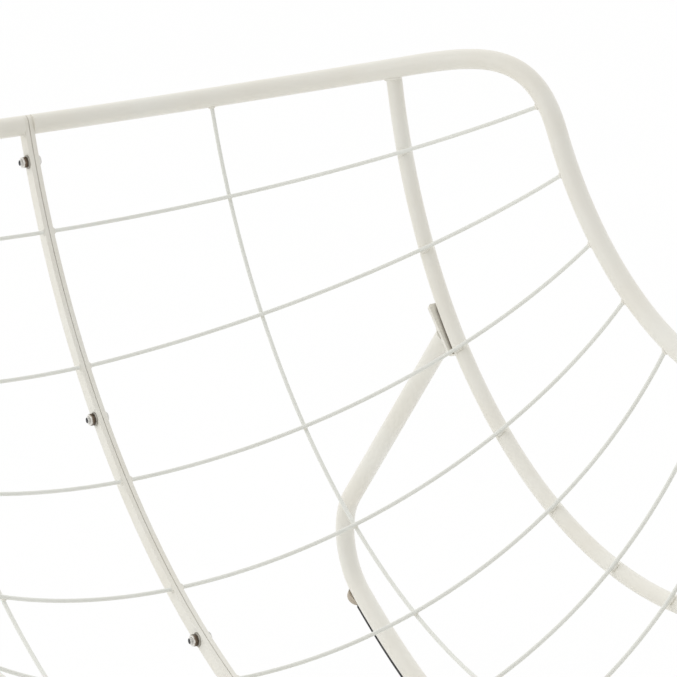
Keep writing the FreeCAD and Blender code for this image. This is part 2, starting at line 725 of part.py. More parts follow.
def rubber_tread(name, side):
    margin = size("tread_margin")
    inner = size("runner_radius") + size("base_diameter") / 2 - size("tread_lap")
    body = doc.addObject("PartDesign::Body", name + "_strip")
    sketch = new_sketch(body, name + "_side", "YZ_Plane")
    hub = Vector(RUNNER_HUB.y, RUNNER_HUB.z, 0)
    turns = (FRONT_TURN + margin, REAR_TURN - margin)
    flat = (-TREAD_FLAT_TURN, TREAD_FLAT_TURN)
    for radius, start, end in ((inner, turns[0], turns[1]), (TREAD_ROUND, turns[0], flat[0]),
                               (TREAD_ROUND, flat[1], turns[1])):
        circle = Part.Circle(hub, Vector(0, 0, 1), radius)
        angles = [math.radians(turn) - math.pi / 2 for turn in (start, end)]
        sketch.addGeometry(Part.ArcOfCircle(circle, angles[0], angles[1]))
    ends = [(on_runner(turn, inner), on_runner(turn, TREAD_ROUND)) for turn in turns]
    ends.append([on_runner(turn, TREAD_ROUND) for turn in flat])
    for a, b in ends:
        sketch.addGeometry(Part.LineSegment(Vector(a.y, a.z, 0), Vector(b.y, b.z, 0)))
    pad = body.newObject("PartDesign::Pad", name + "_pad")
    pad.Profile = sketch
    pad.setExpression("Length", "Sizes.tread_width")
    pad.Midplane = True
    body.Placement = FreeCAD.Placement(ACROSS * (side * size("base_x")), FreeCAD.Rotation())
    return cut(name, body, [runner_clearance(name + "_groove", side, "tread_gap")])


def rubber_stop(name, side_name, side, turn):
    stem_start = size("runner_radius")
    stem_end = stem_start + size("base_diameter") / 2 + size("tread_thickness")
    stem = doc.addObject("Part::Cylinder", name + "_stem")
    stem.setExpression("Radius", "Sizes.stop_diameter / 2")
    stem.setExpression("Height", "Sizes.base_diameter / 2 + Sizes.tread_thickness")
    angle = math.radians(turn)
    spoke = Vector(0, math.sin(angle), -math.cos(angle))
    shift = ACROSS * (side * size("base_x"))
    sideways = spoke.cross(ACROSS)
    stem.Placement = frame(on_runner(turn, stem_start) + shift, ACROSS, sideways)
    dome = doc.addObject("Part::Sphere", name + "_dome")
    dome.setExpression("Radius", "Sizes.stop_diameter / 2")
    dome.Placement = frame(on_runner(turn, stem_end) + shift, ACROSS, sideways)
    whole = doc.addObject("Part::Fuse", name + "_whole")
    whole.Base = stem
    whole.Tool = dome
    saddle = swept(name + "_saddle", doc.getObject("rocker_%s_path" % side_name),
                   "Sizes.base_diameter / 2 + Sizes.weld_gap")
    return cut(name, whole, [saddle])


for side_name, side in SIDES:
    x = side * size("base_x")
    name = "rocker_" + side_name
    part_done(bent_tube(name, base_edges(x), "base_diameter", "base_wall"), name)
    part_done(rubber_tread("tread_" + side_name, side), "tread_" + side_name)
    stops = [("rear", REAR_TURN - size("stop_margin")), ("front", FRONT_TURN + size("stop_margin"))]
    for end, turn in stops:
        stop_name = "stop_%s_%s" % (end, side_name)
        part_done(rubber_stop(stop_name, side_name, side, turn), stop_name)


# Stretchers: cross tubes coped between the two runners.

def stretcher_rod(name, radius, turn):
    rod = doc.addObject("Part::Cylinder", name)
    rod.setExpression("Radius", radius)
    rod.setExpression("Height", "2 * Sizes.base_x")
    start = on_runner(turn, size("runner_radius")) - ACROSS * size("base_x")
    rod.Placement = frame(start, Vector(0, 1, 0), Vector(0, 0, 1))
    return rod


for end in PLATES:
    name = "stretcher_" + end
    turn = size("stretcher_turn_" + end)
    outer = stretcher_rod(name + "_outer", "Sizes.stretcher_diameter / 2", turn)
    inner = stretcher_rod(name + "_inner",
                          "Sizes.stretcher_diameter / 2 - Sizes.stretcher_wall", turn)
    copes = [runner_clearance("%s_cope_%s" % (name, n), s, "weld_gap") for n, s in SIDES]
    part_done(cut(name, outer, [inner] + copes), name)


# Build everything, look for faults and write one file for each piece.

doc.recompute()
for obj in doc.Objects:
    if "Invalid" in obj.State or "Error" in obj.State:
        raise RuntimeError("feature failed: " + obj.Label)

os.makedirs("parts", exist_ok=True)
for obj in finished:
    shape = obj.Shape
    if shape.isNull() or not shape.isValid():
        raise RuntimeError("bad shape: " + obj.Label)
    pieces = len(obj.Links) if obj.TypeId == "Part::Compound" else 1
    if len(shape.Solids) != pieces:
        raise RuntimeError("%s has %d solids" % (obj.Label, len(shape.Solids)))
    shape.exportStep("parts/%s.step" % obj.Label)

box = FreeCAD.BoundBox()
for obj in finished:
    box.add(obj.Shape.optimalBoundingBox())
print("pieces", len(finished))
print("overall", round(box.XLength, 1), round(box.YLength, 1), round(box.ZLength, 1))
print("lowest", round(box.ZMin, 3), "rear", round(box.YMax, 1), "front", round(box.YMin, 1))
print("runner ends", round(REAR_TURN, 2), round(FRONT_TURN, 2))
mass = 0.0
moment = Vector()
for obj in finished:
    weight = RUBBER if obj.Label.startswith(("tread", "stop")) else STEEL
    mass += obj.Shape.Volume * weight
    for solid in obj.Shape.Solids:
        moment += solid.CenterOfMass * (solid.Volume * weight)
print("mass kg", round(mass, 2), "centre of mass", [round(v, 1) for v in moment * (1 / mass)])
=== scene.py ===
# %% [markdown]
# # A rocking egg chair in white wire
# The chair is an open bowl of thin steel wire inside a tube rim. Two mirrored halves are bolted
# together along a flat bar spine, and two bent tubes with rubber treads let the whole chair rock.
# The tubes, wires and bars come as finished solids, so this lesson adds what they lack: the
# powder coat, the welds that hold the wires, the threads and chamfers of the fasteners, and the
# light. The first cell loads the solids and clears away the things that a new file starts with.

# %% Load the chair's solids
import json
import math

import bmesh
import bpy
from mathutils import Matrix, Vector, noise

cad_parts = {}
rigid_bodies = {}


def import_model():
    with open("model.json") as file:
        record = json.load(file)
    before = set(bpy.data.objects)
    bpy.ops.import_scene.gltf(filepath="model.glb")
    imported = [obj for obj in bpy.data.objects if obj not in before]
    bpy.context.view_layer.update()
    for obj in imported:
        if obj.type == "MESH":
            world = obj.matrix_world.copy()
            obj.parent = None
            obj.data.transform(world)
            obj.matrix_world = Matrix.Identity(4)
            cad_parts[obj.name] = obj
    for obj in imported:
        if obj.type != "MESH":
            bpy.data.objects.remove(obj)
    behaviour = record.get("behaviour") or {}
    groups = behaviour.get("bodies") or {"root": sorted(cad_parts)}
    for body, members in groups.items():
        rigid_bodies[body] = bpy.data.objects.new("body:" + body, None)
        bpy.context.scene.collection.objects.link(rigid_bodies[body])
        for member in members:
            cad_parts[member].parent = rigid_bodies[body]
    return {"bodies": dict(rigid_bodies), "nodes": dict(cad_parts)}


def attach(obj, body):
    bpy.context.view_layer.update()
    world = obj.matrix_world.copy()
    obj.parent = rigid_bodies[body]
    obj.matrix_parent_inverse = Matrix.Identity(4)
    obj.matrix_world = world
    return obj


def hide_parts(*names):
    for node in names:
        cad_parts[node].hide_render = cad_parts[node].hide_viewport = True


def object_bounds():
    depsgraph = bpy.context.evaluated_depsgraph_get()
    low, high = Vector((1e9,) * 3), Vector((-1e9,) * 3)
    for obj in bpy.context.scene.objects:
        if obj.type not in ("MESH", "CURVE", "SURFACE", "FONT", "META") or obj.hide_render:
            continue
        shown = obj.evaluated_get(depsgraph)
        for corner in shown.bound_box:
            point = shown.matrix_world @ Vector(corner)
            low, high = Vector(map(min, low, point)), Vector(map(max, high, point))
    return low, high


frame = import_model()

nodes = frame["nodes"]
kept = set(nodes.values()) | set(frame["bodies"].values())
for thing in list(bpy.context.scene.objects):
    if thing not in kept:
        bpy.data.objects.remove(thing)

cad_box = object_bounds()
print("solids", len(nodes), "box", [round(v, 3) for corner in cad_box for v in corner])

# %% [markdown]
# ## Finding places on the bowl
# All hoops stand in planes that pass through one level line, the bowl's axis. A place on the bowl
# is then two angles: the swing goes round that line, from level behind the chair down under the
# seat, and the reach goes out along one hoop. Welds could be placed by typing coordinates, but
# with these few lines every joint is worked out from the sizes that the bowl was bent to. The
# second and fifth hoops were welded a little out of the row, not alike on the two halves, so
# their swing changes along the wire: a curve through its values at spine, upright and rim.

# %% Directions and places on the bowl
MM = 0.001
ACROSS = Vector((1, 0, 0))
BOWL_AXIS = Vector((0, -193.8, 1070)) * MM
SPINE_ROUND = 824 * MM
HOOP_ROUND = 545 * MM
WIRE_HALF = 2.5 * MM
SIDES = {"left": -1, "right": 1}
HOOP_SWINGS = [28.5, 40, 52, 63.5, 75.5, 88, 98.5, 110]
HOOP_DROPS = {
    2: {"spine": 0.86, "left": 1.4, "right": 0.13},
    5: {"spine": -0.8, "left": -1.3, "right": -0.12},
}
DROP_TO_RIM = -0.35
DROP_REACHES = [0.7, 24.8, 66]


def outward(swing):
    angle = math.radians(swing)
    return Vector((0, math.cos(angle), -math.sin(angle)))


def along(swing):
    angle = math.radians(swing)
    return Vector((0, -math.sin(angle), -math.cos(angle)))


def hoop_centre(swing):
    return BOWL_AXIS + outward(swing) * (SPINE_ROUND - HOOP_ROUND)


def on_bowl(side, reach, swing, grow=0.0):
    angle = math.radians(reach)
    spoke = ACROSS * (side * math.sin(angle)) + outward(swing) * math.cos(angle)
    return hoop_centre(swing) + spoke * (HOOP_ROUND + grow)


def hoop_heading(side, reach):
    angle = math.radians(reach)
    return lambda swing: ACROSS * (side * math.cos(angle)) - outward(swing) * math.sin(angle)


def reach_of(x):
    return math.degrees(math.asin(x / HOOP_ROUND))


def hoop_swing(label, number, reach):
    swing = HOOP_SWINGS[number - 1]
    if number in HOOP_DROPS:
        at_spine = HOOP_DROPS[number]["spine"]
        at_upright = HOOP_DROPS[number][label]
        drops = [at_spine, at_upright, at_upright + at_spine * DROP_TO_RIM]
        for at, drop in zip(DROP_REACHES, drops):
            for other in DROP_REACHES:
                if other != at:
                    drop *= (reach - other) / (at - other)
            swing += drop
    return swing


print("spine top", [round(v, 3) for v in on_bowl(1, 0, 19)])

# %% [markdown]
# ## The rim's centre line
# Hoops, uprights and ribs all end on the rim, so their welds need the nearest spot on it. The rim
# is an arc at the top, a soft corner, a long arc down the side, a rounder corner and an arc at
# the front. The corners are cubic curves. A list of points along it is enough, because the nearest
# spot is found on the straight step between two of them.

# %% Points along the rim
RIM_HALF = 12.5 * MM
RIM_GROW = 5 * MM
BACK_SWING = 19.05
FRONT_SWING = 118.5
SIDE_REACH = 72
CORNERS = {
    "back": {"swing": BACK_SWING, "reach": 49, "turn": 14, "pull": 115 * MM},
    "front": {"swing": FRONT_SWING, "reach": 40, "turn": -30, "pull": 150 * MM},
}
RIM_STEPS = 60


def spread(first, last, count=RIM_STEPS):
    return [first + (last - first) * step / count for step in range(count + 1)]


def rim_corner(side, corner):
    swing = corner["swing"]
    side_swing = swing + corner["turn"]
    start = on_bowl(side, corner["reach"], swing, RIM_GROW)
    end = on_bowl(side, SIDE_REACH, side_swing, RIM_GROW)
    leaving = hoop_heading(side, corner["reach"])(swing) * corner["pull"]
    arriving = along(side_swing) * math.copysign(corner["pull"], corner["turn"])
    handles = [start, start + leaving, end - arriving, end]
    points = []
    for t in spread(0, 1):
        weights = [(1 - t) ** 3, 3 * t * (1 - t) ** 2, 3 * t * t * (1 - t), t ** 3]
        points.append(sum((handle * w for handle, w in zip(handles, weights)), Vector()))
    return points


def rim_line(side):
    back = CORNERS["back"]
    front = CORNERS["front"]
    top = [on_bowl(side, reach, BACK_SWING, RIM_GROW) for reach in spread(0, back["reach"])]
    swings = spread(BACK_SWING + back["turn"], FRONT_SWING + front["turn"])
    flank = [on_bowl(side, SIDE_REACH, swing, RIM_GROW) for swing in swings]
    low = [on_bowl(side, reach, FRONT_SWING, RIM_GROW) for reach in spread(front["reach"], 0)]
    return top + rim_corner(side, back) + flank + rim_corner(side, front)[::-1] + low


def nearest_on(line, place):
    best = None
    for a, b in zip(line[:-1], line[1:]):
        step = b - a
        if step.length < 1e-7:
            continue
        share = min(1, max(0, (place - a).dot(step) / step.length_squared))
        spot = a + step * share
        if best is None or (place - spot).length < (place - best[0]).length:
            best = (spot, step.normalized())
    return best


RIM = {side: rim_line(side) for side in SIDES.values()}
print("rim points on each side", len(RIM[1]))

# %% [markdown]
# ## Building blocks for finishes
# Every finish here is made of nodes, with no pictures. A noise texture laid in the object's own
# coordinates gives soft colour drift, uneven gloss or a fine bump, and three small helpers wire
# those up. Object coordinates suit welded work: the pattern runs across a joint without a break.

# %% Helpers for node finishes
TONE_SPAN = (0.3, 0.7)


def new_finish(name):
    finish = bpy.data.materials.new(name)
    finish.use_nodes = True
    return finish, finish.node_tree, finish.node_tree.nodes["Principled BSDF"]


def mottle(tree, size, detail=2.0):
    spot = tree.nodes.new("ShaderNodeTexCoord")
    texture = tree.nodes.new("ShaderNodeTexNoise")
    texture.inputs["Scale"].default_value = 1 / size
    texture.inputs["Detail"].default_value = detail
    tree.links.new(spot.outputs["Object"], texture.inputs["Vector"])
    return texture.outputs["Fac"]


def drift_colour(tree, shader, pattern, dark, light):
    ramp = tree.nodes.new("ShaderNodeValToRGB")
    for end, at, tone in zip(ramp.color_ramp.elements, TONE_SPAN, (dark, light)):
        end.position = at
        end.color = (*tone, 1)
    tree.links.new(pattern, ramp.inputs["Fac"])
    tree.links.new(ramp.outputs["Color"], shader.inputs["Base Color"])


def drift_gloss(tree, shader, pattern, smooth, rough):
    scale = tree.nodes.new("ShaderNodeMapRange")
    scale.inputs["To Min"].default_value = smooth
    scale.inputs["To Max"].default_value = rough
    tree.links.new(pattern, scale.inputs["Value"])
    tree.links.new(scale.outputs["Result"], shader.inputs["Roughness"])


def raise_bumps(tree, shader, pattern, strength, depth):
    bump = tree.nodes.new("ShaderNodeBump")
    bump.inputs["Strength"].default_value = strength
    bump.inputs["Distance"].default_value = depth
    tree.links.new(pattern, bump.inputs["Height"])
    tree.links.new(bump.outputs["Normal"], shader.inputs["Normal"])


print("finish helpers ready")

# %% [markdown]
# ## White powder coat
# The wires and tubes are sprayed with warm white powder and baked. Such a coat has the very fine
# ripple of orange peel, is a little thicker and glossier in places, and drifts slightly in tone.
# A plain white would look like plaster, so bump and gloss are given patterns of a few
# millimetres, and the colour a much broader one. On the thin wires the coat is thinner and
# looks cooler. Behind the ribs the plates get painted shade: a measure of how enclosed a spot
# is mixes a dark tone into the coat's colour, darkest in the crevice along the rib.

# %% White powder coat
TUBE_COAT = [(0.785, 0.759, 0.685), (0.812, 0.800, 0.742)]
WIRE_COAT = [(0.762, 0.767, 0.718), (0.796, 0.802, 0.758)]
COAT_GLOSS = (0.30, 0.44)
TONE_SIZE = 90 * MM
POOL_SIZE = 6 * MM
PEEL_SIZE = 1.6 * MM
PEEL_STRENGTH = 0.10
PEEL_DEPTH = 0.15 * MM
# Dark tone mixed into the plates' coat as painted shade in the crevice behind the rib.
CREVICE_SHADE_TONE = (0.20, 0.165, 0.13)
CREVICE_SHADE_REACH = 6 * MM
CREVICE_SHADE_FADE = (0.25, 0.75)


def powder_coat(name, tones):
    finish, tree, shader = new_finish(name)
    drift_colour(tree, shader, mottle(tree, TONE_SIZE, 3), *tones)
    drift_gloss(tree, shader, mottle(tree, POOL_SIZE), *COAT_GLOSS)
    raise_bumps(tree, shader, mottle(tree, PEEL_SIZE), PEEL_STRENGTH, PEEL_DEPTH)
    return finish


# Painted shade: where ambient occlusion finds a spot enclosed, the coat's colour is mixed towards
# the dark tone.
def paint_crevice_shade(finish):
    tree = finish.node_tree
    base = tree.nodes["Principled BSDF"].inputs["Base Color"]
    enclosed = tree.nodes.new("ShaderNodeAmbientOcclusion")
    enclosed.inputs["Distance"].default_value = CREVICE_SHADE_REACH
    unshaded = tree.nodes.new("ShaderNodeMapRange")
    unshaded.inputs["From Min"].default_value = CREVICE_SHADE_FADE[0]
    unshaded.inputs["From Max"].default_value = CREVICE_SHADE_FADE[1]
    tree.links.new(enclosed.outputs["AO"], unshaded.inputs["Value"])
    mix = tree.nodes.new("ShaderNodeMixRGB")
    mix.inputs["Color1"].default_value = (*CREVICE_SHADE_TONE, 1)
    tree.links.new(unshaded.outputs["Result"], mix.inputs["Fac"])
    tree.links.new(base.links[0].from_socket, mix.inputs["Color2"])
    tree.links.new(mix.outputs["Color"], base)


white_coat = powder_coat("warm_white_powder_coat", TUBE_COAT)
wire_coat = powder_coat("cool_white_wire_coat", WIRE_COAT)
# The plates' coat carries painted shade in the crevice along the rib.
plate_coat = powder_coat("plate_coat_painted_crevice_shade", TUBE_COAT)
paint_crevice_shade(plate_coat)
print("made", white_coat.name, wire_coat.name, plate_coat.name)

# %% [markdown]
# ## Zinc on the fasteners
# Bolts and nuts are plated after they are formed. It is a metal, so its colour tints what it
# mirrors. The round heads stay bright, the hidden plate bolts are duller, and the fresh cut end
# of a bolt is nearly black. On a nut the colour follows the height along the bolt: paler towards
# the outer end, and a dark band in the corner over the flange that is partly dirt, partly painted
# shade.

# %% Zinc plate and dark bolt ends
NUT_SEAT = 6.45 * MM
NUT_HEIGHT = 8 * MM
# Colour up the nut: grey flange, a dark band over the flange that is partly dirt and partly
# painted shade, brown hexagon, paler towards the outer end.
NUT_TONES = [
    (0.00, (0.42, 0.40, 0.36)), (0.20, (0.34, 0.32, 0.28)), (0.30, (0.07, 0.05, 0.035)),
    (0.70, (0.17, 0.13, 0.095)), (0.86, (0.66, 0.64, 0.60)), (1.00, (0.80, 0.78, 0.74)),
]
CLOUD_SIZE = 1.2 * MM
GRAIN_SIZE = 0.5 * MM
GRAIN_STRENGTH = 0.12
GRAIN_DEPTH = 0.05 * MM
STAIN_SIZE = 3 * MM
BAND_PATCH_SIZE = 2.5 * MM
BAND_PATCH_SHARE = 0.3


def bare_metal(name, smooth, rough):
    finish, tree, shader = new_finish(name)
    shader.inputs["Metallic"].default_value = 1.0
    drift_gloss(tree, shader, mottle(tree, CLOUD_SIZE, 3), smooth, rough)
    raise_bumps(tree, shader, mottle(tree, GRAIN_SIZE), GRAIN_STRENGTH, GRAIN_DEPTH)
    return finish, tree, shader


def plated_metal(name, dark, light, smooth, rough):
    finish, tree, shader = bare_metal(name, smooth, rough)
    drift_colour(tree, shader, mottle(tree, STAIN_SIZE, 4), dark, light)
    return finish


# The dark band in the corner over the flange is partly painted shade as well as dirt.
def nut_metal_toned_by_height():
    finish, tree, shader = bare_metal("nut_zinc_dirt_and_painted_shade", 0.26, 0.45)
    spot = tree.nodes.new("ShaderNodeTexCoord")
    axes = tree.nodes.new("ShaderNodeSeparateXYZ")
    tree.links.new(spot.outputs["Object"], axes.inputs["Vector"])
    height = tree.nodes.new("ShaderNodeMapRange")
    height.inputs["From Min"].default_value = -NUT_SEAT
    height.inputs["From Max"].default_value = -NUT_SEAT - NUT_HEIGHT
    tree.links.new(axes.outputs["X"], height.inputs["Value"])
    patchy = tree.nodes.new("ShaderNodeMath")
    patchy.operation = "MULTIPLY_ADD"
    patchy.inputs[1].default_value = BAND_PATCH_SHARE
    tree.links.new(mottle(tree, BAND_PATCH_SIZE, 3), patchy.inputs[0])
    tree.links.new(height.outputs["Result"], patchy.inputs[2])
    recentred = tree.nodes.new("ShaderNodeMath")
    recentred.operation = "SUBTRACT"
    recentred.inputs[1].default_value = BAND_PATCH_SHARE / 2
    tree.links.new(patchy.outputs[0], recentred.inputs[0])
    tones = tree.nodes.new("ShaderNodeValToRGB")
    ramp = tones.color_ramp
    for at, colour in NUT_TONES[1:-1]:
        ramp.elements.new(at).color = (*colour, 1)
    ramp.elements[0].color = (*NUT_TONES[0][1], 1)
    ramp.elements[len(NUT_TONES) - 1].color = (*NUT_TONES[-1][1], 1)
    tree.links.new(recentred.outputs[0], tones.inputs["Fac"])
    tree.links.new(tones.outputs["Color"], shader.inputs["Base Color"])
    return finish


zinc_plate = plated_metal("dull_zinc_plate", (0.36, 0.34, 0.31), (0.52, 0.50, 0.46), 0.24, 0.42)
bright_zinc = plated_metal("bright_zinc_plate", (0.60, 0.59, 0.56), (0.74, 0.73, 0.70), 0.26, 0.40)
nut_zinc = nut_metal_toned_by_height()
dark_end = plated_metal("dark_bolt_end", (0.012, 0.012, 0.014), (0.03, 0.03, 0.034), 0.35, 0.5)
print("made", zinc_plate.name, bright_zinc.name, nut_zinc.name, dark_end.name)

# %% [markdown]
# ## Rubber for treads and stops
# The treads are black rubber strip and the stops are a beige grey one. Moulded rubber is matt with
# a sandy bump and a dusty bloom, so both share one recipe and differ in colour.

# %% Two rubbers
RUBBER_SHEEN = 0.35
RUBBER_GLOSS = (0.55, 0.78)
BLOOM_SIZE = 12 * MM
SMEAR_SIZE = 3 * MM
SAND_SIZE = 0.8 * MM
SAND_STRENGTH = 0.25
SAND_DEPTH = 0.12 * MM


def moulded_rubber(name, dark, light):
    finish, tree, shader = new_finish(name)
    shader.inputs["Specular IOR Level"].default_value = RUBBER_SHEEN
    drift_colour(tree, shader, mottle(tree, BLOOM_SIZE, 4), dark, light)
    drift_gloss(tree, shader, mottle(tree, SMEAR_SIZE, 3), *RUBBER_GLOSS)
    raise_bumps(tree, shader, mottle(tree, SAND_SIZE, 3), SAND_STRENGTH, SAND_DEPTH)
    return finish


black_rubber = moulded_rubber("black_tread_rubber", (0.012, 0.012, 0.012), (0.03, 0.03, 0.029))
grey_rubber = moulded_rubber("beige_stop_rubber", (0.41, 0.355, 0.285), (0.51, 0.455, 0.375))
print("made", black_rubber.name, grey_rubber.name)

# %% [markdown]
# ## Dressing the solids
# Each solid arrives with a material named after what it is made of. Swapping that material for
# the new finish leaves the shape alone, and a printed count shows that none was missed. Wires and
# plates are told apart from the tubes by the first word of their names.

# %% Put the finishes on the solids
FINISHES = {
    "white_coat": white_coat,
    "zinc_steel": zinc_plate,
    "black_rubber": black_rubber,
    "grey_rubber": grey_rubber,
}
COATS = {"hoop": wire_coat, "upright": wire_coat, "plate": plate_coat}
dressed = {}
for name, solid in nodes.items():
    finish = FINISHES[solid.data.materials[0].name]
    if finish is white_coat:
        finish = COATS.get(name.split("_")[0], white_coat)
    solid.data.materials[0] = finish
    dressed[finish.name] = dressed.get(finish.name, 0) + 1
print("dressed", dressed)

# %% [markdown]
# ## Skins from rings
# Weld collars, fasteners and stops are rings of points joined into a skin, as hoops make a barrel.
# One helper joins them. When the last ring is joined back to the first the skin closes on itself,
# as on a washer, and otherwise flat caps close the two ends. Every piece comes out watertight.

# %% Join rings into a skin and make a piece
def skin(form, rings, wrap=False):
    bands = [[form.verts.new(point) for point in ring] for ring in rings]
    pairs = list(zip(bands[:-1], bands[1:]))
    if wrap:
        pairs.append((bands[-1], bands[0]))
    for low, high in pairs:
        count = len(low)
        for i in range(count):
            j = (i + 1) % count
            form.faces.new((low[i], low[j], high[j], high[i]))
    if not wrap:
        form.faces.new(bands[0][::-1])
        form.faces.new(bands[-1])


def add_piece(name, form, finish):
    bmesh.ops.recalc_face_normals(form, faces=form.faces)
    mesh = bpy.data.meshes.new(name)
    form.to_mesh(mesh)
    form.free()
    mesh.materials.append(finish)
    mesh.shade_smooth()
    piece = bpy.data.objects.new(name, mesh)
    bpy.context.scene.collection.objects.link(piece)
    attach(piece, "root")
    print(name, "faces", len(mesh.polygons))
    return piece


print("ring helpers ready")

# %% [markdown]
# ## Fillet welds
# Where a wire or tube ends on another piece, molten steel leaves a small collar, wider on the seat
# than on the wire. It could be a ring primitive, but a real collar follows its seat: on the rim
# it wraps round the tube, and on a flat bar it stops at the edge. So each point of the collar is
# pushed along the wire until it meets the seat, and a little noise makes the bead uneven. Where
# a wire is cut square but its seat slants away, the collar climbs until it covers the cut.

# %% A collar that follows its seat
COLLAR_POINTS = 28
COLLAR_STEPS = 6
COLLAR_SINK = 0.25 * MM
COLLAR_UNEVEN = 0.22
COLLAR_LUMPS_PER_M = 400
COLLAR_BELLY = 0.18
COLLAR_BORE = 0.8
CUT_COVER = 0.6 * MM


def flat_seat(spot, normal):
    return lambda place, into: (spot - place).dot(normal) / into.dot(normal)


def round_seat(centre, heading, half):
    def depth(place, into):
        from_line = place - centre
        from_line -= heading * from_line.dot(heading)
        way = into - heading * into.dot(heading)
        a = way.length_squared
        b = from_line.dot(way)
        inside = b * b - a * (from_line.length_squared - half * half)
        return (-b - math.sqrt(max(inside, 0))) / a

    return depth


def held_back(shift, limits):
    for direction, most in limits:
        over = shift.dot(direction) - most
        if over > 0:
            shift = shift - direction * over
    return shift


def collar(form, end, into, half, leg, seat, limits=(), square_cut=False):
    first = into.orthogonal().normalized()
    second = into.cross(first)
    rings = [[] for _ in range(COLLAR_STEPS + 3)]
    for i in range(COLLAR_POINTS):
        angle = math.tau * i / COLLAR_POINTS
        way = first * math.cos(angle) + second * math.sin(angle)
        lump = noise.noise((end + way * half) * COLLAR_LUMPS_PER_M)
        wide = leg * (1 + COLLAR_UNEVEN * lump)
        tall = max(wide, seat(end + way * half, into) + CUT_COVER) if square_cut else wide
        for step in range(COLLAR_STEPS + 1):
            t = step / COLLAR_STEPS
            belly = COLLAR_BELLY * math.sin(math.pi * t)
            shift = held_back(way * (half + wide * (1 - t + belly)), limits)
            height = tall * (t + belly)
            place = end + shift
            sink = COLLAR_SINK if step == 0 else 0
            rings[step].append(place + into * (seat(place, into) - height + sink))
        hidden = end + held_back(way * half * COLLAR_BORE, limits)
        rings[-2].append(hidden - into * (tall - seat(hidden, into)))
        rings[-1].append(hidden + into * (seat(hidden, into) + COLLAR_SINK))
    skin(form, rings, wrap=True)


print("collar points", COLLAR_POINTS)

# %% [markdown]
# ## Welding the hoops to the rim and the spine
# Each hoop wire is cut square and welded by both ends. At the spine it butts against the side of
# the flat bar, close to the bar's front edge, and at the rim it runs into the tube a little below
# its middle. Where a hoop ends is read from its own solid, as the largest reach among its points.

# %% Collars at the ends of the hoops
SPINE_FACE = 6.25 * MM
WELD_GAP = 0.2 * MM
BAR_FRONT = 2.5 * MM
HOOP_LEG = 2.0 * MM


def hoop_end_reach(solid, side, swing):
    middle = hoop_centre(swing)
    angles = []
    for vertex in solid.data.vertices:
        spoke = vertex.co - middle
        angles.append(math.atan2(side * spoke.x, spoke.dot(outward(swing))))
    return math.degrees(max(angles))


rim_welds = bmesh.new()
spine_welds = bmesh.new()
start_reach = reach_of(SPINE_FACE + WELD_GAP)
for label, side in SIDES.items():
    for number in range(1, len(HOOP_SWINGS) + 1):
        swing = hoop_swing(label, number, DROP_REACHES[-1])
        reach = hoop_end_reach(nodes[f"hoop_{label}_{number}"], side, swing)
        end = on_bowl(side, reach, swing)
        centre, heading = nearest_on(RIM[side], end)
        collar(rim_welds, end, hoop_heading(side, reach)(swing), WIRE_HALF, HOOP_LEG,
               round_seat(centre, heading, RIM_HALF), square_cut=True)
        swing = hoop_swing(label, number, start_reach)
        start = on_bowl(side, start_reach, swing)
        collar(spine_welds, start, ACROSS * -side, WIRE_HALF, HOOP_LEG,
               flat_seat(ACROSS * (side * SPINE_FACE), ACROSS), [(outward(swing) * -1, BAR_FRONT)])
add_piece("weld_hoops_rim", rim_welds, white_coat)
add_piece("weld_hoops_spine", spine_welds, white_coat)

# %% [markdown]
# ## Beads where wires cross
# The uprights and the rib tubes lie behind the hoops and are spot welded wherever they cross. Such
# a weld shows as a small bead that fills the corners between the two. A stretched ball with a few
# lumps does that well, because the wires hide all of it but the corners.

# %% Beads at the crossings
UPRIGHT_X = 229 * MM
UPRIGHT_GROW = 5.2 * MM
UPRIGHT_BEAD = (3.4 * MM, 3.4 * MM, 2.2 * MM)
BEAD_UNEVEN = 0.16
BEAD_LUMPS_PER_M = 500


def bead(form, place, first, second, sizes):
    third = first.cross(second)
    turn = Matrix((first, second, third)).transposed().to_4x4()
    shape = Matrix.Diagonal((*sizes, 1))
    made = bmesh.ops.create_icosphere(form, subdivisions=3, radius=1.0,
                                      matrix=Matrix.Translation(place) @ turn @ shape)
    for vert in made["verts"]:
        lump = noise.noise(vert.co * BEAD_LUMPS_PER_M)
        vert.co += (vert.co - place) * (BEAD_UNEVEN * lump)


upright_reach = reach_of(UPRIGHT_X)
upright_beads = bmesh.new()
for label, side in SIDES.items():
    for number in range(1, len(HOOP_SWINGS) + 1):
        swing = hoop_swing(label, number, upright_reach)
        spot = on_bowl(side, upright_reach, swing, UPRIGHT_GROW / 2)
        across = hoop_heading(side, upright_reach)(swing)
        bead(upright_beads, spot, across, along(swing), UPRIGHT_BEAD)
add_piece("weld_hoops_uprights", upright_beads, white_coat)

# %% [markdown]
# ## Following the rib
# The rib is one tube bent to an arc through three places: on the rim at the top, half way down and
# on the rim at the front. Its place at any swing is needed for its beads, its two end welds and
# the plates bolted to it, so the same arc is drawn here from those three places.

# %% The rib's arc
RIB_HALF = 10 * MM
RIB_GROW = 13.4 * MM
RIB_X = {
    BACK_SWING: 413.5 * MM,
    (BACK_SWING + FRONT_SWING) / 2: 396 * MM,
    FRONT_SWING: 394 * MM,
}
ARC_STEPS = 240


def arc_through(a, b, c):
    ab = b - a
    ac = c - a
    up = ab.cross(ac)
    to_middle = (up.cross(ab) * ac.length_squared + ac.cross(up) * ab.length_squared)
    middle = a + to_middle / (2 * up.length_squared)
    first = (a - middle).normalized()
    second = up.normalized().cross(first)
    size = (a - middle).length
    last = math.atan2((c - middle).dot(second), (c - middle).dot(first)) % math.tau
    angles = spread(0, last, ARC_STEPS)
    return [middle + (first * math.cos(g) + second * math.sin(g)) * size for g in angles]


def rib_line(side):
    return arc_through(*[on_bowl(side, reach_of(x), s, RIB_GROW) for s, x in RIB_X.items()])


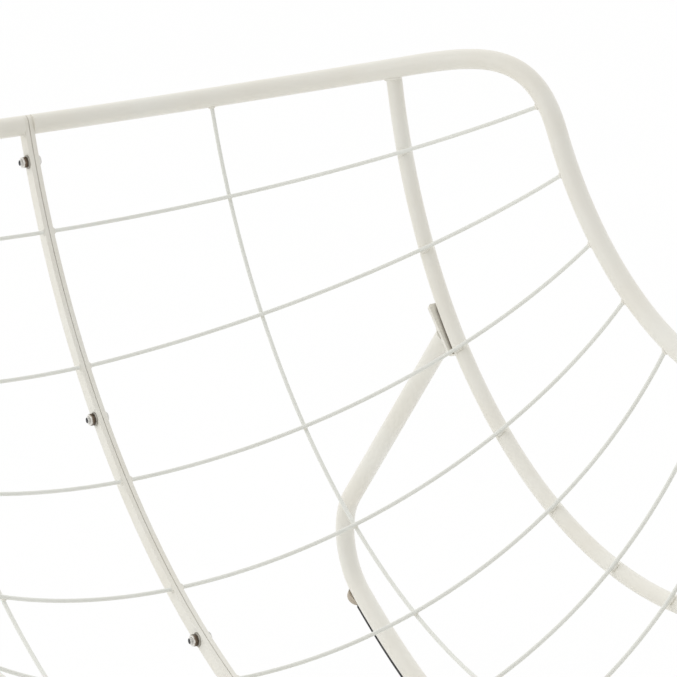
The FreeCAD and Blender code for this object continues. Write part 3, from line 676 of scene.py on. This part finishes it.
def swing_of(place):
    spot = place - BOWL_AXIS
    return math.degrees(math.atan2(-spot.z, spot.y))


def at_swing(line, swing):
    for a, b in zip(line[:-1], line[1:]):
        low = swing_of(a)
        high = swing_of(b)
        if low <= swing <= high:
            return a + (b - a) * ((swing - low) / (high - low))
    return None


RIB = {side: rib_line(side) for side in SIDES.values()}
print("rib in the middle", [round(v, 3) for v in at_swing(RIB[1], 70)])

# %% [markdown]
# ## Beads and collars on the ribs
# The hoops rest on the front of the rib with a bead on each side. The rib's ends are hollowed to
# fit the rim and welded all round, so they get the same collars as the wires, only larger.

# %% Welds on the ribs
RIB_LEG = 2.6 * MM
RIB_REACH = 47
RIB_BEAD = (6.0 * MM, 4.4 * MM, 2.6 * MM)

rib_beads = bmesh.new()
end_welds = bmesh.new()
for label, side in SIDES.items():
    for number in range(1, len(HOOP_SWINGS) + 1):
        swing = hoop_swing(label, number, RIB_REACH)
        out = at_swing(RIB[side], swing) - hoop_centre(swing)
        reach = math.degrees(math.atan2(side * out.x, out.dot(outward(swing))))
        seat = on_bowl(side, reach, swing, WIRE_HALF)
        across = hoop_heading(side, reach)(swing)
        bead(rib_beads, seat, across, along(swing), RIB_BEAD)
    for line in (RIB[side], RIB[side][::-1]):
        heading = (line[0] - line[1]).normalized()
        centre, rim_heading = nearest_on(RIM[side], line[0])
        end = line[0] - heading * RIM_HALF
        collar(end_welds, end, heading, RIB_HALF, RIB_LEG,
               round_seat(centre, rim_heading, RIM_HALF))
add_piece("weld_hoops_ribs", rib_beads, white_coat)
add_piece("weld_ribs_rim", end_welds, white_coat)

# %% [markdown]
# ## Collars on the uprights
# The thin uprights end square against the middle of the rim tube at the top and at the front.

# %% Welds at the ends of the uprights
UPRIGHT_LEG = 2.0 * MM

upright_welds = bmesh.new()
for side in SIDES.values():
    for swing, way in ((BACK_SWING, -1), (FRONT_SWING, 1)):
        in_rim = on_bowl(side, upright_reach, swing, UPRIGHT_GROW)
        centre, rim_heading = nearest_on(RIM[side], in_rim)
        into = along(swing) * way
        collar(upright_welds, in_rim - into * RIM_HALF, into, WIRE_HALF, UPRIGHT_LEG,
               round_seat(centre, rim_heading, RIM_HALF))
add_piece("weld_uprights_rim", upright_welds, white_coat)

# %% [markdown]
# ## Legs on their plates
# The bent rocker tubes are welded onto the mounting plates, the rear ones a little off square.
# The rear plates are hardly wider than the tube, so the collar there stops at the plate's edges.

# %% Welds between legs and plates
BASE_X = 409 * MM
BASE_HALF = 12.5 * MM
PLATE_THICK = 5 * MM
PLATE_GAP = 0.6 * MM
LEG_WELD = 3.0 * MM
PLATE_EDGE_ROOM = 0.3 * MM
PLATES = {
    "rear": {"swing": 49, "lean": 2.2, "x": 410.5 * MM, "width": 24 * MM, "rise": 5 * MM},
    "front": {"swing": 112, "lean": 0, "x": 405 * MM, "width": 36 * MM, "rise": 0},
}


def plate_seat(end, side):
    swing = PLATES[end]["swing"]
    return at_swing(RIB[side], swing) + outward(swing) * (RIB_HALF + PLATE_GAP)


leg_welds = bmesh.new()
for side in SIDES.values():
    for end, plate in PLATES.items():
        out = outward(plate["swing"])
        face = plate_seat(end, side) + out * PLATE_THICK
        corner = BASE_HALF * math.sin(math.radians(plate["lean"]))
        top = face + out * (WELD_GAP + corner)
        top.x = side * BASE_X
        room = plate["width"] / 2 - PLATE_EDGE_ROOM
        outer_edge = side * (plate["x"] - BASE_X)
        limits = [(ACROSS, room + outer_edge), (ACROSS * -1, room - outer_edge)]
        collar(leg_welds, top, outward(plate["swing"] + plate["lean"]) * -1, BASE_HALF, LEG_WELD,
               flat_seat(face, out), limits)
add_piece("weld_legs_plates", leg_welds, white_coat)

# %% [markdown]
# ## Cross tubes between the runners
# Two cross tubes keep the rockers parallel. Their ends are hollowed to the runner tubes and
# welded round, so the collar follows the runner's curve.

# %% Welds at the ends of the cross tubes
RUNNER_ROUND = 967 * MM
RUNNER_Y = 15.2 * MM
TREAD_THICK = 3 * MM
TREAD_ROUND = RUNNER_ROUND + BASE_HALF + TREAD_THICK
TREAD_FLAT = 40 * MM
RUNNER_HUB = Vector((0, RUNNER_Y, math.sqrt(TREAD_ROUND ** 2 - TREAD_FLAT ** 2 / 4)))
CROSS_HALF = 10 * MM
CROSS_LEG = 2.8 * MM
CROSS_TURNS = [12, -16]

cross_welds = bmesh.new()
for turn in CROSS_TURNS:
    angle = math.radians(turn)
    spoke = Vector((0, math.sin(angle), -math.cos(angle)))
    heading = Vector((0, math.cos(angle), math.sin(angle)))
    for side in SIDES.values():
        middle = RUNNER_HUB + spoke * RUNNER_ROUND + ACROSS * (side * BASE_X)
        collar(cross_welds, middle - ACROSS * (side * BASE_HALF), ACROSS * side, CROSS_HALF,
               CROSS_LEG, round_seat(middle, heading, BASE_HALF))
add_piece("weld_cross_tubes", cross_welds, white_coat)

# %% [markdown]
# ## Turned and threaded fasteners
# The two bars of the spine are held by M8 bolts with low round heads and by flange nuts. The
# solids show their outline. Here they are turned again as rings, so the thread can wind round
# the shank, the hexagon can lose its corners to a chamfer, and the head can have its key socket.

# %% Ring shapes for fasteners
TURN_POINTS = 72


def ring_at(place, first, second, height, radius_of):
    axis = first.cross(second)
    ring = []
    for i in range(TURN_POINTS):
        angle = math.tau * i / TURN_POINTS
        way = first * math.cos(angle) + second * math.sin(angle)
        ring.append(place + axis * height + way * radius_of(angle))
    return ring


def plain(radius):
    return lambda angle: radius


def hexagon(flats, most=1.0):
    sixth = math.tau / 6

    def radius(angle):
        from_flat = (angle % sixth) - sixth / 2
        return min(flats / 2 / math.cos(from_flat), most)

    return radius


def thread(height, pitch, outer, depth):
    def radius(angle):
        turn = (height / pitch + angle / math.tau) % 1
        return outer - depth * abs(2 * turn - 1)

    return radius


print("points round a fastener", TURN_POINTS)

# %% [markdown]
# ## Where the rim meets the spine
# The rim tubes are cut square and welded to the flat bars at the top and at the front. The bar is
# narrower than the tube, so part of the tube's end would stay open. A pressed disc closes it and
# fills the thin gap to the bar, and a bead runs along the bar where the tube leans on it.

# %% Discs and beads at the rim's ends
RIM_START = 6.55 * MM
RIM_LEG = 2.0 * MM
BAR_ROOM = {"front": 7.2 * MM, "back": 9.5 * MM, "tip": 8 * MM}
DISC_RINGS = [(-0.25, 3), (-0.25, 11.9), (-0.1, 12.3), (0, 12.35), (0.05, 10.8), (4, 10.8)]

discs = bmesh.new()
rim_end_welds = bmesh.new()
rim_reach = math.degrees(math.asin(RIM_START / (HOOP_ROUND + RIM_GROW)))
for side in SIDES.values():
    for swing, tip in ((BACK_SWING, along(BACK_SWING) * -1), (FRONT_SWING, along(FRONT_SWING))):
        end = on_bowl(side, rim_reach, swing, RIM_GROW)
        away = hoop_heading(side, rim_reach)(swing)
        first = tip.cross(away)
        second = away.cross(first)
        skin(discs, [ring_at(end, first, second, z * MM, plain(r * MM)) for z, r in DISC_RINGS])
        limits = [(outward(swing) * -1, BAR_ROOM["front"]), (outward(swing), BAR_ROOM["back"]),
                  (tip, BAR_ROOM["tip"])]
        collar(rim_end_welds, end, away * -1, RIM_HALF, RIM_LEG,
               flat_seat(ACROSS * (side * SPINE_FACE), ACROSS), limits)
add_piece("rim_end_discs", discs, white_coat)
add_piece("weld_rims_spine", rim_end_welds, white_coat)

# %% [markdown]
# ## The spine's bolts
# A bolt starts at the bottom of its key socket, climbs out over the low dome and comes down the
# shank to the threaded end that stands out of the nut. The pitch of an M8 thread is 1.25 mm.

# %% Make the five spine bolts
BOLT_ROUND = SPINE_ROUND + 7 * MM
FIRST_BOLT = 22.2
BOLT_STEP = 23.35
BOLT_SWINGS = [FIRST_BOLT + BOLT_STEP * count for count in range(5)]
BOLT_HALF = 4 * MM
BOLT_LENGTH = 23.9 * MM
HEAD_HALF = 7 * MM
DOME = 4.4 * MM
PITCH = 1.25 * MM
THREAD_DEPTH = 0.7 * MM
SOCKET_FLATS = 5 * MM
SOCKET_DEPTH = 2.2 * MM
SOCKET_LIP = 0.3 * MM
SOCKET_FLARE = 0.5 * MM
DOME_EDGE = 1.1 * MM
DOME_TOP = 3.5 * MM
DOME_STEPS = 10
HEAD_UNDERCUT = 0.2 * MM
THREADED = 15 * MM
THREAD_STEPS = 8
END_CHAMFER = 0.8 * MM
END_THREAD_SHARE = 0.4
END_FACE = 0.3 * MM
SHARP_ANGLE = 35


def dome_profile():
    rings = []
    for t in spread(0, 1, DOME_STEPS):
        angle = t * math.pi / 2
        height = DOME_EDGE + (DOME - DOME_EDGE) * math.cos(angle)
        rings.append((height, DOME_TOP + (HEAD_HALF - DOME_TOP) * math.sin(angle)))
    return rings


def spine_bolt(form, place, first, second):
    socket = hexagon(SOCKET_FLATS)
    heights = [(DOME - SOCKET_DEPTH, socket), (DOME - SOCKET_LIP, socket),
               (DOME, hexagon(SOCKET_FLATS + SOCKET_FLARE))]
    heights += [(z, plain(r)) for z, r in dome_profile()]
    heights += [(0, plain(HEAD_HALF - HEAD_UNDERCUT)), (0, plain(BOLT_HALF))]
    start = -(BOLT_LENGTH - THREADED)
    end = -BOLT_LENGTH
    heights.append((start, plain(BOLT_HALF)))
    steps = round(THREADED / PITCH * THREAD_STEPS)
    for z in spread(start, end, steps)[1:]:
        outer = BOLT_HALF - max(0, end + END_CHAMFER - z)
        depth = min(THREAD_DEPTH, THREAD_DEPTH * (start - z) / PITCH)
        share = 1 if z > end + END_CHAMFER else END_THREAD_SHARE
        heights.append((z, thread(z, PITCH, outer, depth * share)))
    skin(form, [ring_at(place, first, second, z, radius) for z, radius in heights])


def shade_by_angle(piece):
    piece.data.shade_smooth()
    piece.data.set_sharp_from_angle(angle=math.radians(SHARP_ANGLE))


for number, swing in enumerate(BOLT_SWINGS, start=1):
    form = bmesh.new()
    place = BOWL_AXIS + outward(swing) * BOLT_ROUND + ACROSS * NUT_SEAT
    spine_bolt(form, place, outward(swing), along(swing) * -1)
    bolt = add_piece(f"spine_bolt_turned_{number}", form, bright_zinc)
    bolt.data.materials.append(dark_end)
    for face in bolt.data.polygons:
        if face.center.x < place.x - BOLT_LENGTH + END_FACE:
            face.material_index = 1
    shade_by_angle(bolt)
    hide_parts(f"spine_bolt_{number}")

# %% [markdown]
# ## The spine's flange nuts
# A flange nut has a skirt that spreads the load, a hexagon for the spanner and a chamfer that
# rounds the hexagon's upper corners. The rings go up the outside and come back down the bore,
# so the skin closes on itself.

# %% Make the five flange nuts
NUT_FLATS = 13 * MM
NUT_SKIRT = [(0, 8.75), (0.3, 8.95), (0.8, 8.95), (1.1, 8.65), (1.8, 7.55)]
NUT_CHAMFER = 0.9 * MM
NUT_CORNER = 1 * MM
NUT_STEPS = 5
NUT_BORE = 4.2 * MM
BORE_CHAMFER = 0.6 * MM


def flange_nut(form, place, first, second):
    heights = [(z * MM, plain(r * MM)) for z, r in NUT_SKIRT]
    heights.append((NUT_SKIRT[-1][0] * MM, hexagon(NUT_FLATS)))
    for t in spread(0, 1, NUT_STEPS):
        most = NUT_FLATS / 2 + (1 - t) * NUT_CORNER
        heights.append((NUT_HEIGHT - NUT_CHAMFER * (1 - t), hexagon(NUT_FLATS, most)))
    heights += [(NUT_HEIGHT, plain(NUT_BORE + BORE_CHAMFER)),
                (NUT_HEIGHT - BORE_CHAMFER, plain(NUT_BORE)), (0, plain(NUT_BORE))]
    skin(form, [ring_at(place, first, second, z, radius) for z, radius in heights], wrap=True)


for number, swing in enumerate(BOLT_SWINGS, start=1):
    form = bmesh.new()
    place = BOWL_AXIS + outward(swing) * BOLT_ROUND - ACROSS * NUT_SEAT
    flange_nut(form, place, outward(swing), along(swing))
    nut = add_piece(f"spine_nut_turned_{number}", form, nut_zinc)
    shade_by_angle(nut)
    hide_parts(f"spine_nut_{number}")

# %% [markdown]
# ## The plates' hexagon bolts
# Two M6 bolts hold each plate to the threaded inserts in the rib. Only the heads show, so those
# get the chamfer and the washer face, and the shank stays a plain rod.

# %% Make the plate bolts
M6_HALF = 3 * MM
M6_FLATS = 10 * MM
M6_HEAD = 4 * MM
M6_LENGTH = 18 * MM
M6_APART = 50 * MM
M6_END = 0.4 * MM
M6_WASHER = (0.2 * MM, 4.7 * MM)
M6_CHAMFER = 0.7 * MM
M6_CORNER = 0.8 * MM
M6_STEPS = 4
M6_TOP = [(4, 4.4), (3.75, 4.1)]


def plate_bolt(form, place, first, second):
    lift, washer = M6_WASHER
    heights = [(-M6_LENGTH, plain(M6_HALF - M6_END)), (-M6_LENGTH + M6_END, plain(M6_HALF)),
               (0, plain(M6_HALF)), (0, plain(washer)), (lift, plain(washer)),
               (lift, hexagon(M6_FLATS))]
    for t in spread(0, 1, M6_STEPS):
        most = M6_FLATS / 2 + (1 - t) * M6_CORNER
        heights.append((M6_HEAD - M6_CHAMFER * (1 - t), hexagon(M6_FLATS, most)))
    heights += [(z * MM, plain(r * MM)) for z, r in M6_TOP]
    skin(form, [ring_at(place, first, second, z, radius) for z, radius in heights])


for label, side in SIDES.items():
    for end, plate in PLATES.items():
        swing = plate["swing"]
        form = bmesh.new()
        for shift in (-M6_APART / 2, M6_APART / 2):
            place = plate_seat(end, side) + along(swing) * (shift - plate["rise"])
            place += outward(swing) * (PLATE_THICK + WELD_GAP)
            plate_bolt(form, place, ACROSS, along(swing))
        bolts = add_piece(f"plate_bolts_turned_{end}_{label}", form, zinc_plate)
        shade_by_angle(bolts)
        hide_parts(f"plate_bolts_{end}_{label}")

# %% [markdown]
# ## Rubber stops
# At each end of a tread a rubber button keeps the chair from rocking too far. It is moulded with
# a hollow that sits on the tube and a soft dome that meets the floor. A ball cut by the tube would
# do from afar, but rings can follow the tube and its bend on one side, down to a narrow ledge, and
# a flatter dome on the other. The tip of each plain solid tells where its button points.

# %% Make the four stops
STOP_HALF = 14 * MM
STOP_WALL = BASE_HALF + 2 * MM
STOP_TIP = BASE_HALF + 10 * MM
STOP_GAP = 0.15 * MM
STOP_LEDGE = 6.5 * MM
SADDLE_SHARES = spread(0.1, 1, 9)
STOP_STEPS = 12
BEND_ROUND = 84 * MM


def on_tube(x, up_the_bend):
    height = max(math.sqrt(max(BASE_HALF ** 2 - x * x, 0)), STOP_LEDGE)
    return height + STOP_GAP - max(up_the_bend, 0) ** 2 / (2 * BEND_ROUND)


def saddle_ring(place, first, second, radius):
    axis = first.cross(second)
    bend = second * math.copysign(1, second.z)
    flat = [point - place for point in ring_at(place, first, second, 0, plain(radius))]
    return [place + way + axis * on_tube(way.dot(first), way.dot(bend)) for way in flat]


def rubber_stop(form, place, first, second):
    rings = [saddle_ring(place, first, second, STOP_HALF * share) for share in SADDLE_SHARES]
    for t in spread(0, 1, STOP_STEPS)[:-1]:
        angle = t * math.pi / 2
        height = STOP_WALL + (STOP_TIP - STOP_WALL) * math.sin(angle)
        rings.append(ring_at(place, first, second, height, plain(STOP_HALF * math.cos(angle))))
    skin(form, rings)


for label, side in SIDES.items():
    for end in PLATES:
        hub = RUNNER_HUB + ACROSS * (side * BASE_X)
        solid = nodes[f"stop_{end}_{label}"]
        spokes = [vertex.co - hub for vertex in solid.data.vertices]
        spoke = max(spokes, key=lambda way: way.length).normalized()
        form = bmesh.new()
        rubber_stop(form, hub + spoke * RUNNER_ROUND, ACROSS, spoke.cross(ACROSS))
        stop = add_piece(f"stop_moulded_{end}_{label}", form, grey_rubber)
        shade_by_angle(stop)
        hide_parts(f"stop_{end}_{label}")

# %% [markdown]
# ## Floor and background
# The chair stands on a plain pale floor in front of white. Part of the floor's brightness glows
# for the camera and for mirrors only, so the floor looks white without lighting the chair, and
# the rest is ordinary paint that still takes the chair's shadow.

# %% Floor
FLOOR_SIZE = 60
FLOOR_DROP = 0.5 * MM
FLOOR_TONES = [(0.91, 0.91, 0.905), (0.94, 0.94, 0.935)]
FLOOR_GLOSS = (0.75, 0.85)
FLOOR_GLOW = 0.9


def seen_directly(tree):
    path = tree.nodes.new("ShaderNodeLightPath")
    total = path.outputs["Is Camera Ray"]
    for ray in ("Is Glossy Ray", "Is Transmission Ray"):
        either = tree.nodes.new("ShaderNodeMath")
        either.operation = "MAXIMUM"
        tree.links.new(total, either.inputs[0])
        tree.links.new(path.outputs[ray], either.inputs[1])
        total = either.outputs[0]
    return total


def pale_floor():
    finish, tree, shader = new_finish("pale_studio_floor")
    drift_colour(tree, shader, mottle(tree, 400 * MM), *FLOOR_TONES)
    drift_gloss(tree, shader, mottle(tree, 100 * MM), *FLOOR_GLOSS)
    glow = tree.nodes.new("ShaderNodeEmission")
    glow.inputs["Strength"].default_value = 1.0
    share = tree.nodes.new("ShaderNodeMath")
    share.operation = "MULTIPLY"
    share.inputs[1].default_value = FLOOR_GLOW
    tree.links.new(seen_directly(tree), share.inputs[0])
    mix = tree.nodes.new("ShaderNodeMixShader")
    tree.links.new(share.outputs[0], mix.inputs["Fac"])
    tree.links.new(shader.outputs["BSDF"], mix.inputs[1])
    tree.links.new(glow.outputs["Emission"], mix.inputs[2])
    tree.links.new(mix.outputs["Shader"], tree.nodes["Material Output"].inputs["Surface"])
    return finish


form = bmesh.new()
bmesh.ops.create_grid(form, x_segments=4, y_segments=4, size=FLOOR_SIZE / 2)
mesh = bpy.data.meshes.new("studio_floor")
form.to_mesh(mesh)
form.free()
mesh.materials.append(pale_floor())
floor = bpy.data.objects.new("studio_floor", mesh)
floor.location.z = cad_box[0].z - FLOOR_DROP
bpy.context.scene.collection.objects.link(floor)
print("floor at", round(floor.location.z, 4))

# %% [markdown]
# ## Soft light
# White wire on white needs gentle shading or it vanishes. In the photo the edges of the tubes are
# bright and the sides that face the camera are a little darker, as in a white room with the light
# behind the chair. So the sky is brighter behind than in front, with an even slope between, and
# one wide lamp above and to the left adds a soft direction. To the camera the sky is plain white.

# %% Lamps and sky
def soft_lamp(name, place, aim, size, power):
    lamp = bpy.data.lights.new(name, "AREA")
    lamp.shape = "RECTANGLE"
    lamp.size = size[0]
    lamp.size_y = size[1]
    lamp.energy = power
    holder = bpy.data.objects.new(name, lamp)
    holder.location = place
    holder.rotation_euler = (Vector(aim) - Vector(place)).to_track_quat("-Z", "Y").to_euler()
    holder.visible_camera = False
    bpy.context.scene.collection.objects.link(holder)
    return holder


CHAIR_MIDDLE = (cad_box[0] + cad_box[1]) / 2
SKY_FRONT = 0.42
SKY_BEHIND = 1.5
SKY_WAY = Vector((0.28, 0.96, 0.2)).normalized()
SKY_TINT = (1.0, 0.998, 0.99, 1)
LAMP_PLACE = (-3.2, 0.4, 1.9)
LAMP_SIZE = (2.6, 2.6)
LAMP_WATTS = 13
soft_lamp("wide_left_lamp", LAMP_PLACE, CHAIR_MIDDLE, LAMP_SIZE, LAMP_WATTS)

sky = bpy.data.worlds.new("white_sky")
bpy.context.scene.world = sky
sky.use_nodes = True
tree = sky.node_tree
light = tree.nodes["Background"]
light.inputs["Color"].default_value = SKY_TINT
direction = tree.nodes.new("ShaderNodeTexCoord")
facing = tree.nodes.new("ShaderNodeVectorMath")
facing.operation = "DOT_PRODUCT"
facing.inputs[1].default_value = SKY_WAY
tree.links.new(direction.outputs["Generated"], facing.inputs[0])
slope = tree.nodes.new("ShaderNodeMapRange")
slope.inputs["From Min"].default_value = -1
slope.inputs["To Min"].default_value = SKY_FRONT
slope.inputs["To Max"].default_value = SKY_BEHIND
tree.links.new(facing.outputs["Value"], slope.inputs["Value"])
tree.links.new(slope.outputs["Result"], light.inputs["Strength"])
white = tree.nodes.new("ShaderNodeBackground")
white.inputs["Color"].default_value = (1, 1, 1, 1)
white.inputs["Strength"].default_value = 1.0
mix = tree.nodes.new("ShaderNodeMixShader")
tree.links.new(seen_directly(tree), mix.inputs["Fac"])
tree.links.new(light.outputs["Background"], mix.inputs[1])
tree.links.new(white.outputs["Background"], mix.inputs[2])
tree.links.new(mix.outputs["Shader"], tree.nodes["World Output"].inputs["Surface"])
bpy.context.scene.view_settings.view_transform = "Standard"
print("sky level in front", SKY_FRONT, "and behind", SKY_BEHIND)

# %% [markdown]
# ## Camera
# The chair is seen from its front left and above, through a long lens that looks over the seat at
# the inside of the back. A long lens from further away keeps the hoops nearly parallel.

# %% Camera
EYE = BOWL_AXIS + Vector((-1.62806, -3.09783, 0.95596))
LOOK_DOWN = 19.804
LOOK_RIGHT = 28.049
LENS = 186.1
SENSOR = 36
FURTHEST = 200

lens = bpy.data.cameras.new("seat_view")
lens.lens = LENS
lens.sensor_width = SENSOR
lens.clip_end = FURTHEST
camera = bpy.data.objects.new("seat_view", lens)
camera.location = EYE
camera.rotation_euler = (math.radians(90 - LOOK_DOWN), 0, math.radians(-LOOK_RIGHT))
bpy.context.scene.collection.objects.link(camera)
bpy.context.scene.camera = camera
print("camera", [round(v, 3) for v in EYE])
